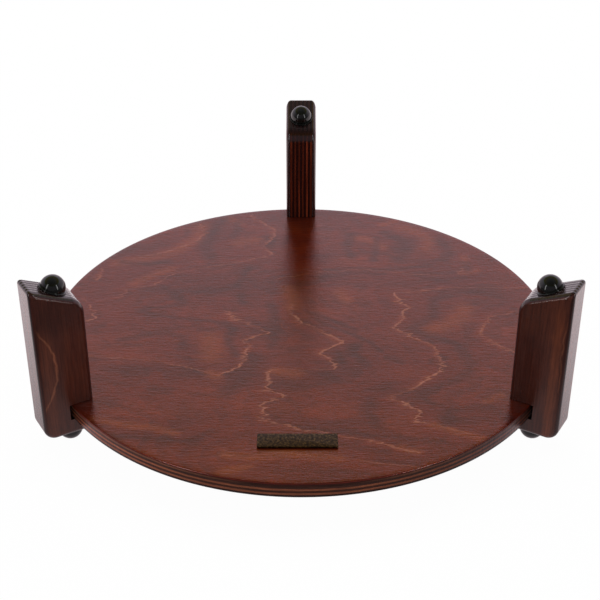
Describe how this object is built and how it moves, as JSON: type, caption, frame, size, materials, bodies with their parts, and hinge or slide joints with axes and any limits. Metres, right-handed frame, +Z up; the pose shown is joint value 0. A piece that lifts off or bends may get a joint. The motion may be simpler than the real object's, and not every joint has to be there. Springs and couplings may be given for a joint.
{
  "type": "handpan sound plate",
  "caption": "Round stained plywood plate in the slots of plug-on posts, with rubber domes that carry a handpan above it and domed rubber feet below.",
  "frame": {"origin": "centre of the sound plate's top face", "axes": "+Z up and square to the plate, +Y towards the back post, +X to the right as seen from the badge side"},
  "size_m": [0.45, 0.4745, 0.1564],
  "materials": {
    "plate_wood": "red-brown stain under satin lacquer",
    "post_wood": "dark red-brown stain under satin lacquer",
    "dome_rubber": "glossy moulded",
    "stud_steel": "zinc plated",
    "badge_bronze": "aged dark bronze, bare"
  },
  "bodies": {
    "plate": {"sound_plate": "plate_wood", "badge_plate": "badge_bronze"},
    "back_leg": {"back_post": "post_wood", "back_dome": "dome_rubber", "back_dome_stud": "stud_steel", "back_foot": "dome_rubber", "back_foot_stud": "stud_steel"},
    "left_leg": {"left_post": "post_wood", "left_dome": "dome_rubber", "left_dome_stud": "stud_steel", "left_foot": "dome_rubber", "left_foot_stud": "stud_steel"},
    "right_leg": {"right_post": "post_wood", "right_dome": "dome_rubber", "right_dome_stud": "stud_steel", "right_foot": "dome_rubber", "right_foot_stud": "stud_steel"}
  },
  "joints": [
    {"name": "back_post_pull", "type": "slide", "parent": "plate", "child": "back_leg", "axis": [0, 1, 0], "range_m": [-0.0016, 0.022]},
    {"name": "left_post_pull", "type": "slide", "parent": "plate", "child": "left_leg", "axis": [-0.866, -0.5, 0], "range_m": [-0.0016, 0.022]},
    {"name": "right_post_pull", "type": "slide", "parent": "plate", "child": "right_leg", "axis": [0.866, -0.5, 0], "range_m": [-0.0016, 0.022]}
  ]
}
